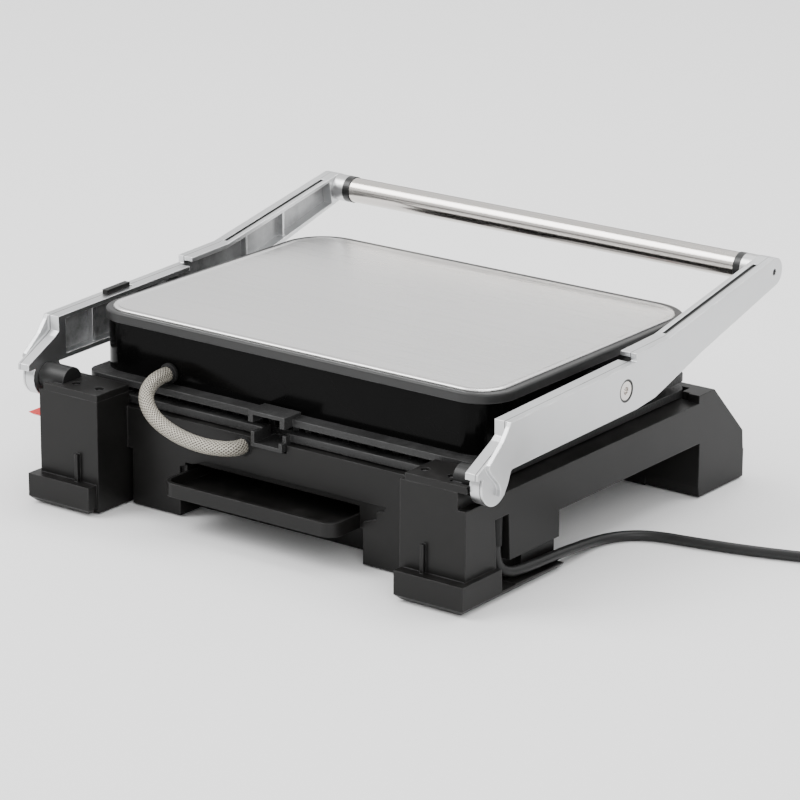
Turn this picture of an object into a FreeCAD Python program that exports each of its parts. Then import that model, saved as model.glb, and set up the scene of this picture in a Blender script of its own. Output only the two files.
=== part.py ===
import FreeCAD, Part
import math
import os

# Contact grill (panini press), millimetres. +X is the user's right, -Y the handle side, +Z up.
# The origin is on the table, in the middle of the grill without its mains cord.

# ---------------------------------------------------------------- driving sizes
# base housing
base_mid_x = -3.0            # the base sits a little to the user's left of the lid
base_half = 164.5            # half of the base's width
deck_z = 64.5                # top edge of the side walls
wall = 3.0                   # housing wall
rear_y = 131.0               # rear wall
deck_front_y = -111.0        # front edge of the deck
front_deck_z = 69.5          # the raised deck at the front
front_deck_y = -93.0
arch_z = 37.5                # top of the side arches
floor_gap = 1.2              # height of the rubber pads under the feet

# rear legs
leg_width = 47.5
leg_rear_y = 159.7
leg_front_y = 62.5
leg_top_z = 74.0
cap_thick = 4.5              # cover on top of each rear leg
cap_width = 44.0
foot_out = 3.9               # how far the foot blocks stand out
foot_rear_out = 7.9
foot_top_z = 19.5

# front legs
front_leg_width = 62.0
front_toe_y = -149.0
front_knee_z = 33.0
front_heel_y = -95.0

# drip tray
tray_half = 67.0
tray_z = 22.5
tray_height = 9.0
tray_lip_y = 155.0
tray_in_y = 62.0
tray_wall = 2.0
slide_gap = 0.3              # clearance of sliding pieces
channel_roof_z = 41.0

# cooking plates
plate_half = 153.0
plate_rear_y = 126.0
plate_front_y = -103.0
rim_thick = 5.0
lower_rim_z = 65.4           # underside of the lower plate's rim
plate_gap = 5.2              # gap between the two rims when the lid is down
well_depth = 7.4             # how far the cast well reaches below the rim
rib_pitch = 9.5
rib_width = 4.6
rib_depth = 4.0
spout_half = 12.0
spout_out = 8.5
spout_wall = 2.5

# lid
lid_half = 153.0
lid_rear_y = 115.5
lid_front_y = -111.5
lid_rim_z = 112.5
cover_z = 118.6              # underside of the steel cover
cover_thick = 1.4
cover_half = 150.0
cover_rear_y = 113.4
cover_front_y = -108.4
rear_corner = 20.0
front_corner = 27.0
rim_out = 2.0

# arms and handle
arm_in = 168.2               # inner face of each arm, from the middle
arm_out = 180.0
arm_skin = 4.6              # thickness of each arm's outer web
arm_face = 3.0              # the raised outer face
hinge_y = 144.5
hinge_z = 78.0
hinge_lobe_r = 13.0
pin_r = 4.0
run_gap = 0.05               # radial clearance of a pin in its bore
float_y = 11.2               # pivot between the arms and the lid
float_z = 101.8
handle_y = -158.5
handle_z = 138.0
handle_r = 8.5
handle_half = 154.0
handle_wall = 1.2
handle_end_r = 9.3

# hinge lugs on the rear legs
lug_r = 8.8
lug_x = {1: 147.5, -1: 153.0}    # inner end of each lug, from the lid's middle
bracket_thick = 6.2
pin_reach = 6.3              # how far the hinge pin enters the arm
leg_wall = 7.0
tower_floor_z = 30.0

# release lever, on the user's right
lever_y = 139.0
lever_z = 56.0
lever_tip_y = 153.6
lever_pin_r = 2.5
lever_x0 = 162.0
lever_x1 = 176.6

# controls on the sloping front
dial_x = 58.0
dial_r = 17.0
dial_high = 13.0
lamp_x = (-40.0, -58.0)
lamp_r = 4.0

# mains cord
cord_d = 6.6
cord_z = cord_d / 2 + 0.1
coil_mid = (-338.0, -90.0)
coil_turn_r = 43.0           # centreline of the outer turn
coil_in_r = 25.4             # centreline of the inner turn
coil_high = 2 * cord_d + 0.2

# sheathed lead between base and lid
lead_d = 9.6

V = FreeCAD.Vector
base_left = base_mid_x - base_half
base_right = base_mid_x + base_half


# ---------------------------------------------------------------- helpers
def box(x0, x1, y0, y1, z0, z1):
    return Part.makeBox(x1 - x0, y1 - y0, z1 - z0, V(x0, y0, z0))


def rod(axis, radius, a, b, u, v):
    # a round bar along one axis from a to b, at (u, v) in the other two
    if axis == "x":
        return Part.makeCylinder(radius, b - a, V(a, u, v), V(1, 0, 0))
    if axis == "y":
        return Part.makeCylinder(radius, b - a, V(u, a, v), V(0, 1, 0))
    return Part.makeCylinder(radius, b - a, V(u, v, a), V(0, 0, 1))


def side_face(points, x=0.0):
    corners = [V(x, y, z) for y, z in points]
    return Part.Face(Part.makePolygon(corners + corners[:1]))


def side_prism(points, x0, x1):
    return side_face(points, x0).extrude(V(x1 - x0, 0, 0))


def back_prism(points, y0, y1):
    corners = [V(x, y0, z) for x, z in points]
    return Part.Face(Part.makePolygon(corners + corners[:1])).extrude(V(0, y1 - y0, 0))


def edges_near(shape, test):
    return [e for e in shape.Edges if test(e.BoundBox)]


def upright(bb):
    return bb.XLength < 0.01 and bb.YLength < 0.01 and bb.ZLength > 0.5


def rounded_plate(x0, x1, y0, y1, z0, z1, rear_r, front_r):
    plate = box(x0, x1, y0, y1, z0, z1)
    middle = (y0 + y1) / 2
    rear = edges_near(plate, lambda bb: upright(bb) and bb.YMin > middle)
    plate = plate.makeFillet(rear_r, rear)
    front = edges_near(plate, lambda bb: upright(bb) and bb.YMin < middle and bb.YMin < y0 + 0.1)
    return plate.makeFillet(front_r, front)


def frame_ring(half, y0, y1, z0, z1, thick, rear_r, front_r):
    outer = rounded_plate(-half, half, y0, y1, z0, z1, rear_r, front_r)
    inner = rounded_plate(-half + thick, half - thick, y0 + thick, y1 - thick, z0 - 1, z1 + 1,
                          rear_r - thick, front_r - thick)
    return outer.cut(inner)


def fuse_all(shapes):
    whole = shapes[0]
    for shape in shapes[1:]:
        whole = whole.fuse(shape)
    return whole.removeSplitter()


def mirror_x(shape):
    return shape.mirror(V(0, 0, 0), V(1, 0, 0))


def export(name, shape):
    solids = shape.Solids
    out = Part.makeCompound(solids) if len(solids) > 1 else solids[0]
    out.exportStep("parts/" + name + ".step")
    print(name, len(solids), "solids", round(sum(s.Volume for s in solids)), "mm3", shape.isValid())


os.makedirs("parts", exist_ok=True)

# sloping control panel: its middle, and the angle that turns +Z to its outward normal
slope_run = deck_front_y - (front_toe_y + 2.0)
slope_rise = front_deck_z - front_knee_z
panel_tilt = math.degrees(math.atan2(slope_rise, slope_run))
panel_y = deck_front_y - slope_run / 2
panel_z = front_knee_z + slope_rise / 2
panel_half = 88.0
panel_deep = 30.0
panel_thick = 2.4


def on_panel(shape):
    placed = shape.copy()
    placed.rotate(V(0, 0, 0), V(1, 0, 0), panel_tilt)
    placed.translate(V(0, panel_y, panel_z))
    return placed


# ---------------------------------------------------------------- base housing
leg_spans = {1: (base_right - leg_width, base_right), -1: (base_left, base_left + leg_width)}
front_spans = {1: (base_right - front_leg_width, base_right),
               -1: (base_left, base_left + front_leg_width)}
arch_front_y = front_heel_y + 5.0
arch_r = 12.0
block_front_y = 56.0
block_top_z = channel_roof_z + wall
recess_half = 71.5
recess_y = 111.0
channel_half = tray_half + slide_gap
web_half = 113.0
well_half = plate_half - 6.0
opening_half = well_half + 2.5
opening_front_y = plate_front_y + 6.0
opening_rear_y = plate_rear_y - 4.5
post_z = lower_rim_z - well_depth
plate_room = 0.6             # room round the lower plate's rim


def make_base():
    toe = [(front_heel_y, 14.0), (front_heel_y, front_deck_z), (deck_front_y, front_deck_z),
           (front_toe_y + 2.0, front_knee_z), (front_toe_y, 14.0)]
    solids = [box(base_left, base_right, deck_front_y, rear_y, arch_z, deck_z),
              side_prism(toe, base_left, base_right),
              box(base_mid_x - web_half, base_mid_x + web_half, block_front_y, rear_y,
                  floor_gap, block_top_z)]
    strip = 8.0
    for x0, x1 in ((base_left, base_left + strip), (base_right - strip, base_right)):
        solids.append(box(x0, x1, deck_front_y, front_deck_y, deck_z - 1, front_deck_z))
    for side in (1, -1):
        x0, x1 = leg_spans[side]
        solids.append(box(x0, x1, leg_front_y, leg_rear_y, floor_gap, deck_z))
        solids.append(box(x0, x1, rear_y - 2.0, leg_rear_y, floor_gap, leg_top_z))
        inner = x0 + 1.5 if side > 0 else x0 - foot_out
        outer = x1 + foot_out if side > 0 else x1 - 1.5
        foot = box(inner, outer, leg_front_y - 1.0, leg_rear_y + foot_rear_out, floor_gap, foot_top_z)
        low = edges_near(foot, lambda bb: bb.ZMax < floor_gap + 0.1 and bb.YMax > leg_rear_y)
        solids.append(foot.makeChamfer(3.2, low))
        f0, f1 = front_spans[side]
        solids.append(box(f0, f1, front_toe_y, front_heel_y, floor_gap, 20.0))
    body = fuse_all(solids)
    # room inside: the tub, the legs, the front and the blocks beside the tray
    cuts = [box(base_left + wall, base_right - wall, deck_front_y + wall, block_front_y, arch_z - 1,
                deck_z - wall),
            box(base_left + wall, base_right - wall, block_front_y - 1, rear_y - wall, block_top_z,
                deck_z - wall),
            box(-opening_half, opening_half, opening_front_y, opening_rear_y, block_top_z, deck_z + 9)]
    hollow = [(front_heel_y - wall, 11.0), (front_heel_y - wall, front_deck_z - 5.0),
              (deck_front_y + 1.0, front_deck_z - 4.0), (front_toe_y + 6.0, front_knee_z - 1.5),
              (front_toe_y + 4.0, 11.0)]
    cuts.append(side_prism(hollow, front_spans[-1][1] - 1, front_spans[1][0] + 1))
    for side in (1, -1):
        x0, x1 = leg_spans[side]
        cuts.append(box(x0 + leg_wall, x1 - leg_wall, leg_front_y + wall, rear_y - wall, -1,
                        block_top_z - wall))
        cuts.append(box(x0 + leg_wall, x1 - leg_wall, rear_y, leg_rear_y - wall, tower_floor_z,
                        leg_top_z + 1))
        f0, f1 = front_spans[side]
        cuts.append(box(f0 + wall, f1 - wall, front_toe_y + 18, front_heel_y - wall, -1, 30.0))
        web0 = base_mid_x + side * web_half
        web1 = side * recess_half
        low_x, high_x = min(web0, web1) + wall, max(web0, web1) - wall
        cuts.append(box(low_x, high_x, block_front_y + wall, rear_y - wall, -1, arch_z))
    # the arches in the two sides
    arch = side_prism([(front_heel_y - 1.5, -1), (arch_front_y, arch_z), (leg_front_y, arch_z),
                       (leg_front_y, -1)], base_left - 5, base_left + 40)
    top = edges_near(arch, lambda bb: bb.XLength > 1 and bb.ZMin > arch_z - 0.1)
    arch = arch.makeFillet(arch_r, top)
    cuts.append(arch)
    mirrored = mirror_x(arch)
    mirrored.translate(V(2 * base_mid_x, 0, 0))
    cuts.append(mirrored)
    # channel for the drip tray, open at the rear, with the recess below it
    cuts += [box(-channel_half, channel_half, tray_in_y - 2, rear_y + 1, tray_z, tray_z + 12),
             box(-channel_half, channel_half, rear_y - 24, rear_y + 1, tray_z, channel_roof_z - 4),
             box(-recess_half, recess_half, recess_y, rear_y + 1, -1, tray_z + 0.5),
             box(-recess_half + 6, recess_half - 6, block_front_y + wall, recess_y - wall, -1,
                 tray_z - wall)]
    mouth = [(recess_half, 1), (recess_half, 33.6), (49, channel_roof_z), (-89, channel_roof_z),
             (-86.5, 37.6), (-81.5, 36.2), (-81.5, 31.5), (-recess_half, 28), (-recess_half, 1)]
    cuts.append(back_prism(mouth, rear_y - 2.2, rear_y + 1))
    # notch in the rear wall under the grease spout
    spout_room = spout_half + 1.0
    cuts.append(box(-spout_room, spout_room, opening_rear_y - 1, rear_y + 1, spout_floor_z - 1.0,
                    deck_z + 1))
    # seat of the lower plate in the raised front of the deck
    cuts.append(box(-plate_half - plate_room, plate_half + plate_room, plate_front_y - plate_room,
                    front_deck_y + 1, deck_z, front_deck_z + 1))
    for cut in cuts:
        body = body.cut(cut)
    return body


spout_floor_z = lower_rim_z - 5.2
base = make_base()
# posts that carry the lower plate, and bosses for its screws
post_points = [(x, y) for x in (-120.0, 120.0) for y in (-70.0, 96.0)]
floor_at = {-70.0: arch_z, 96.0: block_top_z}
for x, y in post_points:
    base = base.fuse(rod("z", 6.0, floor_at[y] - 0.5 if y > 0 else arch_z, post_z, x, y))
for x in (-120.0, 120.0):
    edge = base_right - wall if x > 0 else base_left + wall
    low, high = min(x, edge), max(x, edge)
    base = base.fuse(box(low - 0.5, high + 0.5, -73.0, -67.0, arch_z + 3.0, post_z - 4.0))

# the leg tops: bosses for the cap screws, room for the hinge lugs
cap_screw_y = 147.5
cap_screw_x = {1: (122.3, 141.4), -1: (-129.4, -149.0)}
boss_r = 3.5
lug_room = 0.6
for side in (1, -1):
    x0, x1 = leg_spans[side]
    for x in cap_screw_x[side]:
        base = base.fuse(rod("z", boss_r, tower_floor_z - 1, leg_top_z, x, cap_screw_y))
    lug_in = side * (lug_x[side] - 0.4)
    lug_end = side * (arm_in + 4)
    base = base.cut(rod("x", lug_r + lug_room, min(lug_in, lug_end), max(lug_in, lug_end),
                        hinge_y, hinge_z))
slot_side_x = base_left + 6.0
base = base.cut(box(base_left - 1, slot_side_x, hinge_y - lug_r - lug_room, leg_rear_y + 1,
                    hinge_z - lug_r - 6.0, leg_top_z + 1))
for side in (1, -1):
    # thin rib on the rear of each leg, above the foot
    rib_x = base_mid_x + side * 134.0
    base = base.fuse(box(rib_x - 2.2, rib_x + 0.4, leg_rear_y - 0.5, leg_rear_y + 2.6, foot_top_z - 1,
                         foot_top_z + 18.0))

# cord recess in the left leg's outer side, and the channel that leads it forward over the foot
recess_x = base_left + 9.5
cord_y = 122.0
base = base.fuse(box(base_left + 2, recess_x + wall, cord_y - 28, cord_y + 9, 2 * floor_gap, 54.0))
cord_pocket = side_prism([(cord_y - 9, 5.5), (cord_y + 5, 5.5), (cord_y + 8, 50.0), (cord_y - 6, 50.0)],
                         base_left - 8, recess_x)
base = base.cut(cord_pocket)
cord_way = side_prism([(leg_front_y - 3, 4.8), (cord_y, 6.4), (cord_y, foot_top_z + 1),
                       (leg_front_y - 3, foot_top_z + 1)], base_left - 8, base_left + 3.6)
base = base.cut(cord_way)
base = base.cut(box(base_left - 8, recess_x - 1.5, cord_y - 25, cord_y - 5, 6.4, foot_top_z + 1))
relief_x = base_left + 5.2
relief_r = 4.15
relief_top_z = 54.0
base = base.cut(rod("z", relief_r + 0.05, 49.0, relief_top_z + 1, relief_x, cord_y))

# holes for the lead's grommet, the dial's shaft, the lamps, the lever's pin
lead_x = 20.5
lead_z = 57.5
grommet_r = 6.5
base = base.cut(rod("y", grommet_r, rear_y - wall - 1, rear_y + 1, lead_x, lead_z))
base = base.cut(rod("x", lever_pin_r + run_gap, base_right - leg_wall - 2, base_right + 1, lever_y,
                    lever_z))
seat = on_panel(box(-panel_half - slide_gap, panel_half + slide_gap, -panel_deep / 2 - slide_gap,
                    panel_deep / 2 + slide_gap, -panel_thick, 5))
base = base.cut(seat)
neck_r = 5.5
base = base.cut(on_panel(rod("z", neck_r + 1.5, -12, 2, dial_x, 0)))
for x in lamp_x:
    base = base.cut(on_panel(rod("z", lamp_r + 0.3, -9, 2, x, 0)))
screw_points = [(x, y) for x in (base_left + 9.5, base_right - 9.5) for y in (-80.0, 40.0)]
for x, y in screw_points:
    boss = rod("z", 4.5, arch_z + 2.0, deck_z - 1.0, x, y)
    base = base.fuse(boss).cut(rod("z", 1.8, arch_z + 1.0, arch_z + 13.0, x, y))
for x, y in post_points:
    base = base.cut(rod("z", 2.2, post_z - 9.0, post_z + 1, x, y))
base = base.removeSplitter()

# ---------------------------------------------------------------- base: covers, pads, screws
cover_gap = 0.4
bottom = box(base_left + wall + cover_gap, base_right - wall - cover_gap, front_heel_y + cover_gap,
             block_front_y - cover_gap, arch_z - 0.0, arch_z + 2.0)
for x, y in post_points:
    if y < 0:
        bottom = bottom.cut(rod("z", 6.0 + cover_gap, arch_z - 1, arch_z + 3, x, y))
for x, y in screw_points:
    bottom = bottom.cut(rod("z", 2.2, arch_z - 1, arch_z + 3, x, y))
for i in range(9):
    vent_x = -60.0 + 15.0 * i
    bottom = bottom.cut(box(vent_x - 3, vent_x + 3, -30.0, 10.0, arch_z - 1, arch_z + 3))
export("base_bottom_cover", bottom)

cover_screws = []
for x, y in screw_points:
    head = rod("z", 3.6, arch_z - 1.6, arch_z, x, y)
    cover_screws.append(head.fuse(rod("z", 1.8, arch_z, arch_z + 12.0, x, y)))
export("base_cover_screws", Part.makeCompound(cover_screws))

pads = []
for side in (1, -1):
    x0, x1 = leg_spans[side]
    pads.append(box(x0 + 8, x1 - 8, leg_rear_y - 15, leg_rear_y - 1, 0, floor_gap))
    f0, f1 = front_spans[side]
    pads.append(box(f0 + 8, f1 - 8, front_toe_y + 2.5, front_toe_y + 15.5, 0, floor_gap))
export("rubber_feet", Part.makeCompound(pads))

# caps over the rear legs, with their screws
caps = []
cap_screws = []
for side in (1, -1):
    x0 = leg_spans[side][0]
    cap = box(x0, x0 + cap_width, rear_y - 2.0, leg_rear_y, leg_top_z, leg_top_z + cap_thick)
    lug_in = side * (lug_x[side] - 0.4)
    cap = cap.cut(box(min(lug_in, side * arm_in), max(lug_in, side * arm_in), hinge_y - lug_r - lug_room,
                      hinge_y + lug_r + 2.0 + lug_room, leg_top_z - 1, leg_top_z + 9))
    for x in cap_screw_x[side]:
        cap = cap.cut(rod("z", 3.0, leg_top_z + 1.5, leg_top_z + 9, x, cap_screw_y))
        cap = cap.cut(rod("z", 1.6, leg_top_z - 1, leg_top_z + 9, x, cap_screw_y))
        base = base.cut(rod("z", 1.5, leg_top_z - 10, leg_top_z + 1, x, cap_screw_y))
        head = rod("z", 2.7, leg_top_z + 1.5, leg_top_z + 3.0, x, cap_screw_y)
        cap_screws.append(head.fuse(rod("z", 1.5, leg_top_z - 9, leg_top_z + 1.6, x, cap_screw_y)))
    caps.append(cap)
export("base_housing", base)
export("rear_leg_caps", Part.makeCompound(caps))
export("leg_cap_screws", Part.makeCompound(cap_screws))

# hinge brackets: a lug for the arm's pin on a plate that stands inside the leg
brackets = []
pins = []
for side in (1, -1):
    lug_in, lug_end = side * lug_x[side], side * (arm_in - 0.4)
    lug = rod("x", lug_r, min(lug_in, lug_end), max(lug_in, lug_end), hinge_y, hinge_z)
    web_in, web_out = side * (lug_x[side] + 0.6), side * (lug_x[side] + 0.6 + bracket_thick)
    web = box(min(web_in, web_out), max(web_in, web_out), hinge_y, hinge_y + lug_r + 2.0,
              tower_floor_z, hinge_z)
    bracket = fuse_all([lug, web])
    pin_in, pin_end = side * (lug_x[side] + 1.5), side * (arm_in + pin_reach)
    pin = rod("x", pin_r, min(pin_in, pin_end), max(pin_in, pin_end), hinge_y, hinge_z)
    brackets.append(bracket.cut(pin))
    pins.append(pin)
export("hinge_brackets", Part.makeCompound(brackets))
export("hinge_pins", Part.makeCompound(pins))

# ---------------------------------------------------------------- cooking plates
def rib_cuts(z0, z1):
    # grooves between the ribs, front to back
    cuts = []
    reach = well_half - 8.0
    count = int(2 * reach / rib_pitch)
    start = -count * rib_pitch / 2 + rib_pitch / 2
    for i in range(count):
        x = start + i * rib_pitch
        groove = (rib_pitch - rib_width) / 2
        cuts.append(box(x - groove, x + groove, plate_front_y + 12, plate_rear_y - 14, z0, z1))
    return cuts


def make_lower_plate():
    top = lower_rim_z + rim_thick
    rim = rounded_plate(-plate_half, plate_half, plate_front_y, plate_rear_y, lower_rim_z, top, 10, 10)
    well = box(-well_half, well_half, plate_front_y + 9, plate_rear_y - 7, post_z, lower_rim_z + 1)
    spout = box(-spout_half, spout_half, plate_rear_y - 8, plate_rear_y + spout_out, spout_floor_z,
                top - 0.6)
    plate = fuse_all([rim, well, spout])
    channel_half_x = spout_half - spout_wall
    plate = plate.cut(box(-channel_half_x, channel_half_x, plate_rear_y - 13, plate_rear_y + 20,
                          spout_floor_z + spout_wall, top + 1))
    # the right-hand lip of the spout is cut back, as it flares out
    plate = plate.cut(box(-spout_half - 1, -channel_half_x + 0.1, plate_rear_y + spout_out - 4,
                          plate_rear_y + 20, top - 4.5, top + 1))
    for cut in rib_cuts(top - rib_depth, top + 1):
        plate = plate.cut(cut)
    gutter = box(-well_half + 6, well_half - 6, plate_rear_y - 15, plate_rear_y - 8, top - 7.0, top + 1)
    plate = plate.cut(gutter)
    for x, y in post_points:
        plate = plate.cut(rod("z", 2.3, post_z - 1, post_z + 6, x, y))
    return plate


def make_upper_plate():
    z0 = lower_rim_z + rim_thick + plate_gap
    z1 = z0 + rim_thick - 0.6
    rim = rounded_plate(-plate_half, plate_half, plate_front_y, plate_rear_y, z0, z1, 10, 10)
    well = rounded_plate(-well_half, well_half, plate_front_y + 9, plate_rear_y - 14, z1 - 1, z1 + 4.0,
                         rear_corner, 12.0)
    spout = box(-spout_half - 2, spout_half + 2, plate_rear_y - 8, plate_rear_y + spout_out,
                z0, z1 + 3.0)
    plate = fuse_all([rim, well, spout])
    channel_half_x = spout_half - spout_wall + 1
    plate = plate.cut(box(-channel_half_x, channel_half_x, plate_rear_y - 13, plate_rear_y + 20,
                          z0 - 1, z1 + 0.6))
    for cut in rib_cuts(z0 - 1, z0 + rib_depth):
        plate = plate.cut(cut)
    gutter = box(-well_half + 6, well_half - 6, plate_rear_y - 15, plate_rear_y - 11, z0 - 1, z0 + 4)
    return plate.cut(gutter)


lower_plate = make_lower_plate()
upper_plate = make_upper_plate()
export("lower_plate", lower_plate)
upper_rim_z = lower_rim_z + rim_thick + plate_gap
upper_rim_top = upper_rim_z + rim_thick - 0.6
upper_back_z = upper_rim_top + 4.0

lower_plate_screws = []
for x, y in post_points:
    lower_plate_screws.append(rod("z", 2.2, post_z - 9.0, post_z + 5.0, x, y))
export("lower_plate_screws", Part.makeCompound(lower_plate_screws))


def bar_loop(half_x, y0, y1, z, radius, corner):
    # a heating rod bent into one flat loop, with two straight tails towards +Y
    bend = 3 * radius
    points = [V(-14, y1 + 14, z), V(-14, y1, z), V(-half_x, y1, z), V(-half_x, y0, z),
              V(half_x, y0, z), V(half_x, y1, z), V(14, y1, z), V(14, y1 + 14, z)]
    return bent_tube(points, radius, [bend, corner, corner, corner, corner, bend])


def bent_tube(points, radius, corner_radii):
    # straight runs joined by tangent arcs, swept with a round section
    edges = []
    last = points[0]
    for i in range(1, len(points) - 1):
        a, b, c = points[i - 1], points[i], points[i + 1]
        to_a = (a - b).normalize()
        to_c = (c - b).normalize()
        inside = max(-1.0, min(1.0, to_a.dot(to_c)))
        half_turn = (math.pi - math.acos(inside)) / 2
        back = corner_radii[i - 1] * math.tan(half_turn)
        start = b + V(to_a).multiply(back)
        end = b + V(to_c).multiply(back)
        middle_dir = (V(to_a) + V(to_c)).normalize()
        reach = corner_radii[i - 1] / math.cos(half_turn) - corner_radii[i - 1]
        middle = b + middle_dir.multiply(reach)
        if (start - last).Length > 1e-4:
            edges.append(Part.LineSegment(last, start).toShape())
        edges.append(Part.Arc(start, middle, end).toShape())
        last = end
    if (points[-1] - last).Length > 1e-4:
        edges.append(Part.LineSegment(last, points[-1]).toShape())
    path = Part.Wire(edges)
    heading = (points[1] - points[0]).normalize()
    ring = Part.Wire(Part.makeCircle(radius, points[0], heading))
    tube = path.makePipeShell([ring], True, True)
    if tube.Volume < 0:
        tube.reverse()
    return tube, path.Length


rod_r = 3.3
element_z = post_z - rod_r - 0.05
low_element = bar_loop(95.0, -60.0, 85.0, element_z, rod_r, 22.0)[0]
export("lower_heating_element", low_element)
top_element_z = upper_back_z + rod_r + 0.05
top_element = bar_loop(95.0, -60.0, 85.0, top_element_z, rod_r, 22.0)[0]
export("upper_heating_element", top_element)

tray_gap = 0.8
low_pan_z = element_z - rod_r - tray_gap
low_pan = box(-112, 112, -74, 100, low_pan_z - 1.0, low_pan_z)
low_pan = low_pan.fuse(box(-112, -111, -74, 100, low_pan_z - 1.0, post_z))
low_pan = low_pan.fuse(box(111, 112, -74, 100, low_pan_z - 1.0, post_z))
low_pan = low_pan.cut(box(-30, 30, 90, 101, low_pan_z - 2, post_z + 1))
export("lower_heat_reflector", low_pan.removeSplitter())
top_pan_z = top_element_z + rod_r + tray_gap
top_pan = box(-112, 112, -74, 100, top_pan_z, top_pan_z + 1.0)
top_pan = top_pan.fuse(box(-112, -111, -74, 100, upper_back_z, top_pan_z + 1.0))
top_pan = top_pan.fuse(box(111, 112, -74, 100, upper_back_z, top_pan_z + 1.0))
top_pan = top_pan.cut(box(-30, 30, 90, 101, upper_back_z - 1, top_pan_z + 2))
export("upper_heat_reflector", top_pan.removeSplitter())

cutout = box(-11, 11, -12, 10, low_pan_z - 7.5, low_pan_z - 1.0)
cutout = cutout.fuse(rod("z", 6.0, low_pan_z - 9.5, low_pan_z - 7.0, 0, -1))
export("base_thermal_cutout", cutout)
lid_limiter = rod("z", 8.0, top_pan_z + 1.0, top_pan_z + 6.0, 30, 20)
lid_limiter = lid_limiter.fuse(box(19, 41, 18, 22, top_pan_z + 1.0, top_pan_z + 2.2))
export("lid_thermal_cutout", lid_limiter.removeSplitter())
terminals = box(-150.0, -124.0, 72.0, 80.0, block_top_z, block_top_z + 9.0)
for i in range(3):
    terminals = terminals.cut(rod("y", 2.4, 71.0, 81.0, -146.0 + 9.0 * i, block_top_z + 4.5))
export("terminal_block", terminals)

# ---------------------------------------------------------------- controls
panel = on_panel(box(-panel_half, panel_half, -panel_deep / 2, panel_deep / 2, -panel_thick, 0))
panel = panel.cut(on_panel(rod("z", neck_r, -8, 4, dial_x, 0)))
for x in lamp_x:
    panel = panel.cut(on_panel(rod("z", lamp_r, -8, 4, x, 0)))
export("control_panel", panel)
shaft = on_panel(rod("z", 3.0, -14.0, dial_high - 4.0, dial_x, 0))
dial_body = rod("z", dial_r, 1.0, dial_high, dial_x, 0)
rim_edges = edges_near(dial_body, lambda bb: bb.ZMin > dial_high - 0.1)
dial_body = dial_body.makeFillet(1.5, rim_edges)
dial_body = dial_body.cut(box(dial_x - 1.2, dial_x + 1.2, 4.0, dial_r + 1, dial_high - 1.2, dial_high + 1))
for i in range(24):
    angle = math.radians(15 * i)
    dial_body = dial_body.cut(rod("z", 0.9, 3.5, dial_high + 1, dial_x + (dial_r + 0.3) * math.cos(angle),
                                  (dial_r + 0.3) * math.sin(angle)))
dial_body = dial_body.cut(rod("z", 3.0, 0, dial_high - 4.0, dial_x, 0))
export("temperature_dial", on_panel(dial_body))
export("dial_shaft", shaft)
thermostat = box(dial_x - 13, dial_x + 13, -10, 10, -21.0, -9.0)
thermostat = thermostat.fuse(rod("z", neck_r, -9.5, 0.6, dial_x, 0))
thermostat = thermostat.cut(rod("z", 3.0 + run_gap, -14.3, 2, dial_x, 0)).removeSplitter()
export("thermostat", on_panel(thermostat))
lenses = []
for x in lamp_x:
    dome = rod("z", lamp_r - 0.1, -6.0, 0.8, x, 0)
    lenses.append(on_panel(dome.makeFillet(0.6, edges_near(dome, lambda bb: bb.ZMin > 0.7))))
export("indicator_lenses", Part.makeCompound(lenses))

# ---------------------------------------------------------------- drip tray
tray_top = tray_z + tray_height
tray = box(-tray_half, tray_half, tray_in_y, tray_lip_y, tray_z, tray_top)
tray = tray.makeFillet(9.0, edges_near(tray, lambda bb: upright(bb) and bb.YMin > tray_in_y + 1))
dish = box(-tray_half + tray_wall, tray_half - tray_wall, tray_in_y + tray_wall,
           tray_lip_y - tray_wall - 0.6, tray_z + tray_wall, tray_top + 1)
dish = dish.makeFillet(7.0, edges_near(dish, lambda bb: upright(bb) and bb.YMin > tray_in_y + 5))
tray = tray.cut(dish)
export("drip_tray", tray)

# ---------------------------------------------------------------- release lever
lever = side_prism([(lever_y - 5, lever_z - 5.0), (lever_y + 6, lever_z - 6.0),
                    (lever_tip_y - 5, lever_z - 5.0), (lever_tip_y, lever_z - 2.0),
                    (lever_tip_y - 1.5, lever_z + 2.0), (lever_y + 8, lever_z + 5.5),
                    (lever_y - 5, lever_z + 5.5)], lever_x0, lever_x1)
shave = back_prism([(arm_in - 0.6, lever_z + 6), (lever_x1 + 1, lever_z + 6), (lever_x1 + 1, lever_z - 1.7),
                    (arm_in - 0.6, lever_z - 1.7)], lever_y - 9, lever_tip_y + 9)
lever = lever.cut(shave)
lever = lever.cut(rod("x", lever_pin_r, lever_x0 - 1, arm_in - 2.0, lever_y, lever_z))
export("hinge_release_lever", lever)
lever_pin = rod("x", lever_pin_r, base_right - leg_wall - 6.0, arm_in - 2.0, lever_y, lever_z)
export("lever_pin", lever_pin)
spring = rod("x", 4.4, base_right - leg_wall - 5.0, base_right - leg_wall, lever_y, lever_z)
spring = spring.cut(rod("x", lever_pin_r + 0.4, base_right - leg_wall - 6.0, base_right, lever_y, lever_z))
export("lever_spring", spring)

# ---------------------------------------------------------------- lid
lid_wall = 2.6
lid_bottom_z = upper_rim_top
lid_top_z = lid_rim_z
pivot_bush_r = 8.0
pivot_screw_r = 4.0
pivot_head_r = 6.0
pivot_head_thick = 3.4
gland_x = 91.6
gland_z = 86.7
gland_r = 6.6

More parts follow.
